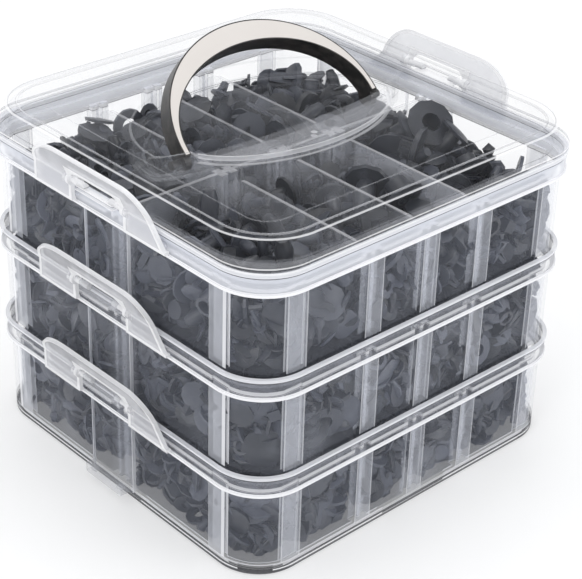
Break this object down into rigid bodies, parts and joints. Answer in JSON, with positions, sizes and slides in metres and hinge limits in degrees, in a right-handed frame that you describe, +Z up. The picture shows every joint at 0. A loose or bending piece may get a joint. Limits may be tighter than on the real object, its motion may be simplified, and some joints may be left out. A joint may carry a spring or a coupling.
{
  "type": "stackable organiser case",
  "caption": "Clear stackable organiser case of divided trays under a domed lid, with snap latches, a folding carry handle and black push-in trim clips inside.",
  "frame": {"origin": "centre of the footprint, on the surface the bottom tray stands on", "axes": "+Z up; X across the two latch sides; -Y is the front long wall, and the handle folds down towards +Y"},
  "size_m": [0.1682, 0.153, 0.1491],
  "materials": {
    "clear_plastic": "clear polypropylene, glossy",
    "frosted_plastic": "translucent polypropylene, satin",
    "divider_plastic": "translucent polypropylene, satin",
    "handle_black": "black, satin",
    "handle_ivory": "pearl ivory, satin",
    "clip_black": "black nylon"
  },
  "bodies": {
    "bottom_tier": {"bottom_tray": "clear_plastic", "bottom_long_divider": "divider_plastic", "bottom_front_divider_1": "divider_plastic", "bottom_front_divider_2": "divider_plastic", "bottom_front_divider_3": "divider_plastic", "bottom_clips_front_1": "clip_black", "bottom_clips_front_2": "clip_black", "bottom_clips_front_3": "clip_black", "bottom_clips_front_4": "clip_black", "bottom_back_divider_1": "divider_plastic", "bottom_back_divider_2": "divider_plastic", "bottom_back_divider_3": "divider_plastic", "bottom_clips_back_1": "clip_black", "bottom_clips_back_2": "clip_black", "bottom_clips_back_3": "clip_black", "bottom_clips_back_4": "clip_black"},
    "middle_tier": {"middle_tray": "clear_plastic", "middle_long_divider": "divider_plastic", "middle_front_divider_1": "divider_plastic", "middle_front_divider_2": "divider_plastic", "middle_front_divider_3": "divider_plastic", "middle_clips_front_1": "clip_black", "middle_clips_front_2": "clip_black", "middle_clips_front_3": "clip_black", "middle_clips_front_4": "clip_black", "middle_back_divider_1": "divider_plastic", "middle_back_divider_2": "divider_plastic", "middle_back_divider_3": "divider_plastic", "middle_clips_back_1": "clip_black", "middle_clips_back_2": "clip_black", "middle_clips_back_3": "clip_black", "middle_clips_back_4": "clip_black"},
    "top_tier": {"top_tray": "clear_plastic", "top_long_divider": "divider_plastic", "top_front_divider_1": "divider_plastic", "top_front_divider_2": "divider_plastic", "top_front_divider_3": "divider_plastic", "top_clips_front_1": "clip_black", "top_clips_front_2": "clip_black", "top_clips_front_3": "clip_black", "top_clips_front_4": "clip_black", "top_back_divider_1": "divider_plastic", "top_back_divider_2": "divider_plastic", "top_back_divider_3": "divider_plastic", "top_clips_back_1": "clip_black", "top_clips_back_2": "clip_black", "top_clips_back_3": "clip_black", "top_clips_back_4": "clip_black"},
    "lid": {"lid": "clear_plastic"},
    "handle": {"handle": "handle_black", "handle_facing": "handle_ivory"},
    "middle_latch_left": {"middle_latch_left": "frosted_plastic"},
    "middle_latch_right": {"middle_latch_right": "frosted_plastic"},
    "top_latch_left": {"top_latch_left": "frosted_plastic"},
    "top_latch_right": {"top_latch_right": "frosted_plastic"},
    "lid_latch_left": {"lid_latch_left": "frosted_plastic"},
    "lid_latch_right": {"lid_latch_right": "frosted_plastic"}
  },
  "joints": [
    {"name": "middle_tier_lift", "type": "slide", "parent": "bottom_tier", "child": "middle_tier", "axis": [0, 0, 1], "range_m": [0, 0.06]},
    {"name": "top_tier_lift", "type": "slide", "parent": "middle_tier", "child": "top_tier", "axis": [0, 0, 1], "range_m": [0, 0.06]},
    {"name": "lid_lift", "type": "slide", "parent": "top_tier", "child": "lid", "axis": [0, 0, 1], "range_m": [0, 0.06]},
    {"name": "handle_fold", "type": "hinge", "parent": "lid", "child": "handle", "pos_m": [0, 0.001, 0.1185], "axis": [-1, 0, 0], "range_deg": [-60, 41]},
    {"name": "middle_latch_left_press", "type": "hinge", "parent": "middle_tier", "child": "middle_latch_left", "pos_m": [-0.0793, 0, 0.0432], "axis": [0, 1, 0], "range_deg": [0, 20]},
    {"name": "middle_latch_right_press", "type": "hinge", "parent": "middle_tier", "child": "middle_latch_right", "pos_m": [0.0793, 0, 0.0432], "axis": [0, -1, 0], "range_deg": [0, 20]},
    {"name": "top_latch_left_press", "type": "hinge", "parent": "top_tier", "child": "top_latch_left", "pos_m": [-0.0793, 0, 0.0809], "axis": [0, 1, 0], "range_deg": [0, 20]},
    {"name": "top_latch_right_press", "type": "hinge", "parent": "top_tier", "child": "top_latch_right", "pos_m": [0.0793, 0, 0.0809], "axis": [0, -1, 0], "range_deg": [0, 20]},
    {"name": "lid_latch_left_press", "type": "hinge", "parent": "lid", "child": "lid_latch_left", "pos_m": [-0.0793, 0, 0.1186], "axis": [0, 1, 0], "range_deg": [0, 20]},
    {"name": "lid_latch_right_press", "type": "hinge", "parent": "lid", "child": "lid_latch_right", "pos_m": [0.0793, 0, 0.1186], "axis": [0, -1, 0], "range_deg": [0, 20]}
  ]
}
